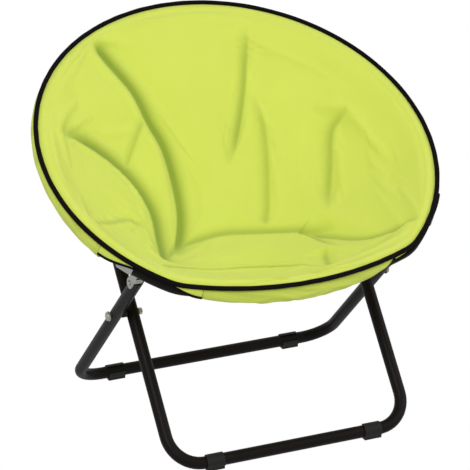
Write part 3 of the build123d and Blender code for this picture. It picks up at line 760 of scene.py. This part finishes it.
def swell():
    """Movement of the pad's upper face in a cloth run with pressure inside, as a coarse grid of vectors.

    Pins hold the rim, the creases and the lower face, and no point moves more than the cap.
    """
    _, _, inset, upper, lower, dark = pad_surfaces(SWELL_AROUND, SWELL_ACROSS)
    start = np.concatenate([upper.reshape(-1, 3), lower.reshape(-1, 3)])
    body = make_object("pad_swell", start, closed_faces(SWELL_AROUND, SWELL_ACROSS, SWELL_ACROSS))
    at_creases = np.clip(dark * CREASE_HOLD, 0, 1)
    at_rim = np.clip((SWELL_HOLD - inset) / SWELL_HOLD_FADE, 0, 1)
    pins = np.maximum(at_creases, at_rim)
    group = hold_in_place(body, np.concatenate([pins.ravel(), np.ones(pins.size)]))
    cloth = body.modifiers.new("swell", "CLOTH").settings
    cloth.vertex_group_mass = group.name
    cloth.effector_weights.gravity = 0
    cloth.use_pressure = True
    cloth.uniform_pressure_force = SWELL_PRESSURE
    for step in range(1, SWELL_FRAMES + 1):
        scene.frame_set(step)
    swollen = body.evaluated_get(bpy.context.evaluated_depsgraph_get())
    end = np.empty(start.size, np.float32)
    swollen.data.vertices.foreach_get("co", end)
    bpy.data.objects.remove(body)
    scene.frame_set(1)
    move = (end.reshape(start.shape) - start)[: pins.size]
    length = np.linalg.norm(move, axis=-1, keepdims=True)
    move = move * np.minimum(1, SWELL_CAP / np.maximum(length, LEAST_MOVE))
    return move.reshape(SWELL_AROUND, SWELL_ACROSS, 3)


def make_pad():
    x, w, _, upper, _, dark = pad_surfaces(PAD_AROUND, PAD_ACROSS)
    low_x, low_w, _, _, lower, _ = pad_surfaces(PAD_AROUND, PAD_ACROSS_LOW)
    move = resample(swell(), PAD_AROUND, wrap=True)
    upper = upper + resample(move.swapaxes(0, 1), PAD_ACROSS).swapaxes(0, 1)
    points = np.concatenate([upper.reshape(-1, 3), lower.reshape(-1, 3)])
    uv = np.concatenate([np.stack([x, w], -1).reshape(-1, 2), np.stack([low_x, low_w], -1).reshape(-1, 2)])
    pad = make_object("pad", points, closed_faces(PAD_AROUND, PAD_ACROSS, PAD_ACROSS_LOW), uv)
    # Painted shade: the creases' and seams' on the upper face, an even darker tone on the underside.
    add_attribute(pad, "crease", np.concatenate([dark.ravel(), np.full(low_x.size, UNDERSIDE_PAINTED_SHADE)]))
    return pad


# The pad is built whole, then parted below the seat's crease into a back part and a seat part.
# Points in w and n give an anchor on each part.
PAD_CUT_W = -0.165
BACK_EDGE = (0.385, -0.004)
SEAT_LEVEL = -0.005


def pad_part(whole, name, front):
    """Closed part of the pad on one side of the cut, with the whole pad's normals so that no line shows."""
    mesh = bmesh.new()
    mesh.from_mesh(whole.data)
    cut = bmesh.ops.bisect_plane(
        mesh,
        geom=mesh.verts[:] + mesh.edges[:] + mesh.faces[:],
        plane_co=HoopFrame.place(0.0, PAD_CUT_W, 0.0),
        plane_no=HoopFrame.slope,
        clear_outer=front,
        clear_inner=not front,
    )
    edges = [item for item in cut["geom_cut"] if isinstance(item, bmesh.types.BMEdge)]
    bmesh.ops.holes_fill(mesh, edges=edges, sides=0)
    part = bpy.data.objects.new(name, bpy.data.meshes.new(name))
    mesh.to_mesh(part.data)
    mesh.free()
    scene.collection.objects.link(part)
    normals = np.empty(len(part.data.vertices) * 3, np.float32)
    part.data.attributes["whole_normal"].data.foreach_get("vector", normals)
    part.data.normals_split_custom_set_from_vertices(normals.reshape(-1, 3).tolist())
    part.data.attributes.remove(part.data.attributes["whole_normal"])
    return dress(part, "lime_fabric")


whole_pad = make_pad()
whole_normal = np.empty(len(whole_pad.data.vertices) * 3, np.float32)
whole_pad.data.vertex_normals.foreach_get("vector", whole_normal)
normal_layer = whole_pad.data.attributes.new("whole_normal", "FLOAT_VECTOR", "POINT")
normal_layer.data.foreach_set("vector", whole_normal)
pad_back = pad_part(whole_pad, "pad_back", False)
pad_seat = pad_part(whole_pad, "pad_seat", True)
bpy.data.objects.remove(whole_pad)
for part, node, body in ((pad_back, "back_pad", "rear_hoop"), (pad_seat, "seat_pad", "front_hoop")):
    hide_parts(node)
    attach(part, body)
back_anchor = tuple(HoopFrame.place(0.0, *BACK_EDGE))
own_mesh(pad_back)
seat_anchor = tuple(HoopFrame.place(0.0, 0.0, SEAT_LEVEL))
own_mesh(pad_seat)


def hinge_point(offset):
    """Point on the middle line at the hoop hinge, moved up the slope by offset."""
    return tuple(HoopFrame.place(0.0, HINGE_W + offset, -TUBE_DROP))


def fold_over_hinge(obj):
    """Bake a sewn piece's placement into its mesh; the points either side of the hoop hinge are found but
    not used.
    """
    behind = hinge_point(FOLD_ZONE)
    ahead = hinge_point(-FOLD_ZONE)
    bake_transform(obj)


# Rim piping: one ring of bound cord
PIPING_AROUND = 700
PIPING_SECTION = 20
PIPING_OVAL = 0.06
PIPING_UNEVEN = 0.035
PIPING_RIPPLE = 0.05
PIPING_SEED = 3


def make_rim_piping():
    """Ring of an oval cord: its radius times one plus a double cosine round it and seeded ripples."""
    s = np.linspace(0, Rim.length, PIPING_AROUND, endpoint=False)
    phi = np.linspace(0, tau, PIPING_SECTION, endpoint=False)
    grid_s, grid_phi = np.meshgrid(s, phi, indexing="ij")
    ring = np.sin(grid_s * tau / Rim.length) * Rim.length / tau
    uneven = PIPING_UNEVEN * ripple(ring, grid_phi, PIPING_SEED, PIPING_RIPPLE)
    radius = PIPING_R * (1 + PIPING_OVAL * np.cos(2 * grid_phi) + uneven)
    return dress(rim_tube("piping", grid_s, grid_phi, 0.0, radius, True), "black_piping")


piping = make_rim_piping()
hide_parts("front_piping", "rear_piping")
fold_over_hinge(piping)

# Sleeves round the hoop tube, with soft folds in the fabric
SLEEVE_SPACING = 0.003
SLEEVE_LEAST_ROWS = 24
SLEEVE_SECTION = 56
SLEEVE_SEED = {"back": 11, "front": 12, "right": 13, "left": 14}
SLEEVE_SLACK = 0.0005
SLEEVE_PAINTED_SHADE = 0.2
FOLD_SCALE = 0.09
DRAG_LINES = 11
DRAG_WANDER = 2.5
DRAG_SCALE = 0.16
DRAG_SHARE = 0.09
DRAG_SEED = 50
FRONT_SAG = 0.0115
FRONT_SAG_POWER = 0.6
FRONT_SLACK = 0.0008
FRONT_SLANT = 0.050
SLANT_POWER = 4
SIDE_SAG = 0.0065
SIDE_SAG_FROM = 0.45


def under_share(phi):
    """Share of the way down a section: 0 at its top and 1 at its bottom."""
    return 0.5 - 0.5 * np.sin(phi)


def sleeve_radius(s, phi, seed, slack, sag):
    """Tube radius plus seeded folds that run along the hoop, and a sag that grows towards straight down."""
    _, a = Rim.angle(s)
    down = np.arctan2(-cos(HOOP_TILT), -sin(HOOP_TILT) * np.sin(a))
    hang = np.maximum(np.cos(phi - down), 0) ** 2
    folds = ripple(s, phi * 2, seed, FOLD_SCALE) * slack * under_share(phi)
    wander = DRAG_WANDER * ripple(s, 0 * phi, seed + DRAG_SEED, DRAG_SCALE)
    drag = np.sin(DRAG_LINES * phi + wander) * hang
    return SLEEVE_R + folds + sag * hang + DRAG_SHARE * sag * drag


def make_sleeve(side, first, last, sag, slack=SLEEVE_SLACK, slant=0.0):
    """Sleeve from first to last along the rim, its last end cut back below by slant.

    The sag is a function of the share of the way.
    """
    seed = SLEEVE_SEED[side]
    s = np.linspace(first, last, max(SLEEVE_LEAST_ROWS, int((last - first) / SLEEVE_SPACING)))
    phi = np.linspace(-tau / 4, tau * 3 / 4, SLEEVE_SECTION, endpoint=False)
    grid_s, grid_phi = np.meshgrid(s, phi, indexing="ij")
    share = (grid_s - first) / (last - first)
    grid_s = grid_s - slant * share**SLANT_POWER * under_share(grid_phi)
    radius = sleeve_radius(grid_s, grid_phi, seed, slack, sag(share))
    sleeve = rim_tube(f"sleeve_{side}", grid_s, grid_phi, -TUBE_DROP, radius, False, TUBE_INSET)
    # Painted shade: the sleeve evenly darker, and darker still along its folds.
    folds = np.clip(ripple(grid_s, grid_phi * 2, seed, FOLD_SCALE), 0, 1)
    add_attribute(sleeve, "crease", SLEEVE_PAINTED_SHADE + SLEEVE_PAINTED_SHADE * folds)
    return dress(sleeve, "lime_fabric")


def sag_none(share):
    """Taut sleeve: no sag anywhere."""
    return 0.0 * share


def sag_front(share):
    """Loose front band: a power of a half sine, full over most of its length and taut at both ends."""
    return FRONT_SAG * np.sin(np.clip(share, 0, 1) * HALF_TURN) ** FRONT_SAG_POWER


def sag_to_end(share):
    """Side sleeve that loosens by an eased rise over its last half, towards the cut-out."""
    return SIDE_SAG * smooth_step((share - SIDE_SAG_FROM) / (1 - SIDE_SAG_FROM))


bracket_w = sqrt(RING_R**2 - BRACKET_X**2)
right_bracket = Rim.at_w(bracket_w, 1)
left_bracket = Rim.at_w(bracket_w, -1)
right_cutout = Rim.at_w(CUTOUT_REAR_W, 1)
left_cutout = Rim.at_w(CUTOUT_REAR_W, -1)
front_right = Rim.front_at_x(CUTOUT_FRONT_X)
front_left = Rim.front_at_x(-CUTOUT_FRONT_X)

back_sleeve = make_sleeve("back", right_bracket + BRACKET_CLEAR, left_bracket - BRACKET_CLEAR, sag_none)
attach(back_sleeve, "rear_hoop")
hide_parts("back_sleeve")
front_sleeve = make_sleeve("front", front_left, front_right, sag_front, FRONT_SLACK, FRONT_SLANT)
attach(front_sleeve, "front_hoop")
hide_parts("front_sleeve")
for side, first, last, sag in (
    ("right", right_cutout, right_bracket - BRACKET_CLEAR, sag_none),
    ("left", left_bracket + BRACKET_CLEAR, left_cutout, sag_to_end),
):
    sleeve = make_sleeve(side, first, last, sag)
    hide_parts(f"side_sleeve_{side}", f"hinge_sleeve_{side}")
    fold_over_hinge(sleeve)

# Flaps over the cut-outs: a strip outside the tube with a bound lower edge
FLAP_R = 0.0150
FLAP_T = 0.0012
FLAP_TOP = radians(66)
FLAP_LOW = {"left": radians(4), "right": radians(45)}
FLAP_HIGH = radians(60)
FLAP_RISE_REAR = 0.42
FLAP_RISE_FRONT = 0.30
FLAP_ROWS = 80
FLAP_COLUMNS = 14
FLAP_PAINTED_SHADE = 0.15
BINDING_R = 0.0022
BINDING_BELOW = radians(9)
BINDING_ROWS = 120
BINDING_SECTION = 12


def flap_edge(share, side):
    """Angle of the flap's lower edge: low at both ends of the cut-out, with an eased rise to the piping."""
    rise = np.minimum(share / FLAP_RISE_REAR, (1 - share) / FLAP_RISE_FRONT)
    return FLAP_LOW[side] + (FLAP_HIGH - FLAP_LOW[side]) * smooth_step(rise)


def make_flap(side, first, last):
    """Thin shell outside the tube, from under the piping to its lower edge: two radii over that range."""
    down = np.linspace(0, 1, FLAP_COLUMNS)
    there_and_back = np.concatenate([down, down[::-1]])
    share, turn = np.meshgrid(np.linspace(0, 1, FLAP_ROWS), there_and_back, indexing="ij")
    phi = FLAP_TOP + (flap_edge(share, side) - FLAP_TOP) * turn
    radius = np.concatenate([np.full(FLAP_COLUMNS, FLAP_R + FLAP_T), np.full(FLAP_COLUMNS, FLAP_R)])
    radius = np.broadcast_to(radius, phi.shape)
    grid_s = first + share * (last - first)
    flap = rim_tube(f"flap_{side}", grid_s, phi, -TUBE_DROP, radius, False, TUBE_INSET)
    # Painted shade: the flap evenly darker than the pad.
    add_attribute(flap, "crease", np.full(phi.size, FLAP_PAINTED_SHADE))
    dress(flap, "lime_fabric")
    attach(flap, "front_hoop")
    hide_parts(f"cutout_flap_{side}")


def make_binding(side, first, last):
    """Small tube along the flap's lower edge, which follows the edge's angle round the hoop tube."""
    phi = np.linspace(0, tau, BINDING_SECTION, endpoint=False)
    share, grid_phi = np.meshgrid(np.linspace(0, 1, BINDING_ROWS), phi, indexing="ij")
    angle = flap_edge(share, side) - BINDING_BELOW
    centre_r = FLAP_R + BINDING_R
    level = -TUBE_DROP + centre_r * np.sin(angle)
    inset = TUBE_INSET - centre_r * np.cos(angle)
    grid_s = first + share * (last - first)
    radius = np.full(share.shape, BINDING_R)
    binding = rim_tube(f"binding_{side}", grid_s, grid_phi, level, radius, False, inset)
    dress(binding, "black_piping")
    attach(binding, "front_hoop")
    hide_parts(f"cutout_binding_{side}")


for side, first, last in (
    ("left", left_cutout, front_left),
    ("right", right_cutout + Rim.length, front_right),
):
    make_flap(side, first, last)
    make_binding(side, first, last)

# Camera and light
EYE = Vector((-1.83385, -4.26157, 2.21776))
VIEW_AZIMUTH = radians(-23.51)
VIEW_ELEVATION = radians(22.11)
IMAGE_SIDE = 470.0
FOCAL_PIXELS = 2458.0
AIM_PIXEL = (243.4, 245.4)
SENSOR = 36.0
SEAT_MIDDLE = (0.0, -0.05, 0.45)
KEY_PLACE = (-1.6, -2.2, 2.8)
FILL_PLACE = (2.4, -1.6, 1.8)
AMBIENT = 0.76

camera_data = bpy.data.cameras.new("camera")
camera_data.sensor_width = SENSOR
camera_data.lens = FOCAL_PIXELS / IMAGE_SIDE * SENSOR
camera_data.shift_x = (IMAGE_SIDE / 2 - AIM_PIXEL[0]) / IMAGE_SIDE
camera_data.shift_y = (AIM_PIXEL[1] - IMAGE_SIDE / 2) / IMAGE_SIDE
camera = bpy.data.objects.new("camera", camera_data)
scene.collection.objects.link(camera)
backwards = Vector((
    sin(VIEW_AZIMUTH) * cos(VIEW_ELEVATION),
    -cos(VIEW_AZIMUTH) * cos(VIEW_ELEVATION),
    sin(VIEW_ELEVATION),
))
rightwards = Vector((cos(VIEW_AZIMUTH), sin(VIEW_AZIMUTH), 0.0))
upwards = backwards.cross(rightwards)
axes = Matrix((rightwards, upwards, backwards)).transposed()
camera.matrix_world = Matrix.Translation(EYE) @ axes.to_4x4()
scene.camera = camera


def add_area(name, place, size, power):
    """Square area light that faces the middle of the seat."""
    data = bpy.data.lights.new(name, "AREA")
    data.size = size
    data.energy = power
    light = bpy.data.objects.new(name, data)
    light.location = place
    light.rotation_euler = (Vector(SEAT_MIDDLE) - Vector(place)).to_track_quat("-Z", "Y").to_euler()
    scene.collection.objects.link(light)


add_area("key", KEY_PLACE, size=1.6, power=54.0)
add_area("fill", FILL_PLACE, size=2.0, power=25.0)

# White to the camera, and dimmer as a light
world = bpy.data.worlds.new("studio")
scene.world = world
world.use_nodes = True
surroundings = Shading(world.node_tree)
background = world.node_tree.nodes["Background"]
seen = surroundings.node("LightPath", "Is Camera Ray", {}, {})
surroundings.feed(background.inputs["Color"], (1.0, 1.0, 1.0))
surroundings.feed(background.inputs["Strength"], seen.between(AMBIENT, 1.0))
scene.view_settings.view_transform = "Standard"
